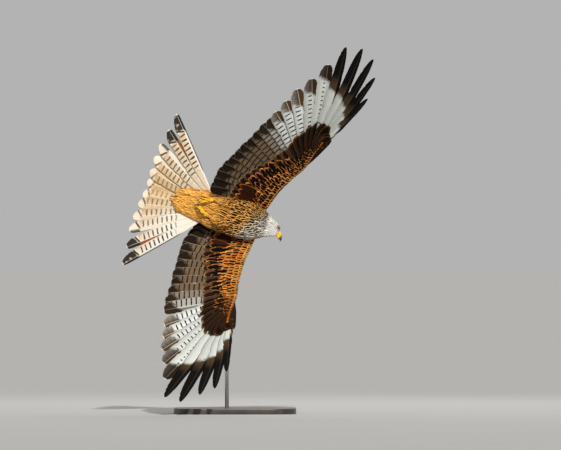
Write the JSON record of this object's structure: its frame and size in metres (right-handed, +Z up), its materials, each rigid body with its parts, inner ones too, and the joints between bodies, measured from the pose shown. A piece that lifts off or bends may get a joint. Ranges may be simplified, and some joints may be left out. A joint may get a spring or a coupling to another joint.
{
  "type": "red kite bird display model",
  "caption": "Life-size still red kite in banking flight, wings spread and tail fanned, held on a flat base by a post and a short arm.",
  "frame": {"origin": "centre of the underside of the stand's base", "axes": "+Z up, +X towards the side that the bill points to, -Y the side that the belly and the undersides of the wings face"},
  "size_m": [0.9204, 0.5999, 1.3221],
  "materials": {
    "body_feathers": "matte rufous plumage with dark streaks",
    "head_feathers": "matte whitish plumage finely streaked grey",
    "wing_feathers": "satin barred brown and white flight feathers",
    "tail_feathers": "satin cream and rufous barred feathers",
    "foot_skin": "scaly yellow skin",
    "bill_horn": "horn, yellow at the base and dark at the tip",
    "claw_horn": "polished dark horn",
    "eye_glass": "clear gloss over a pale amber iris",
    "base_board": "satin black stain",
    "rod_steel": "brushed"
  },
  "bodies": {
    "root": {"torso": "body_feathers", "neck": "head_feathers", "head": "head_feathers", "tail": "tail_feathers", "wing_right": "wing_feathers", "wing_left": "wing_feathers", "thigh_right": "body_feathers", "thigh_left": "body_feathers", "foot_right": "foot_skin", "foot_left": "foot_skin", "bill_upper": "bill_horn", "bill_lower": "bill_horn", "eye_right": "eye_glass", "eye_left": "eye_glass", "stand_base": "base_board", "stand_post": "rod_steel", "stand_arm": "rod_steel", "claw_right_1": "claw_horn", "claw_right_2": "claw_horn", "claw_right_3": "claw_horn", "claw_right_4": "claw_horn", "claw_left_1": "claw_horn", "claw_left_2": "claw_horn", "claw_left_3": "claw_horn", "claw_left_4": "claw_horn"}
  },
  "joints": []
}
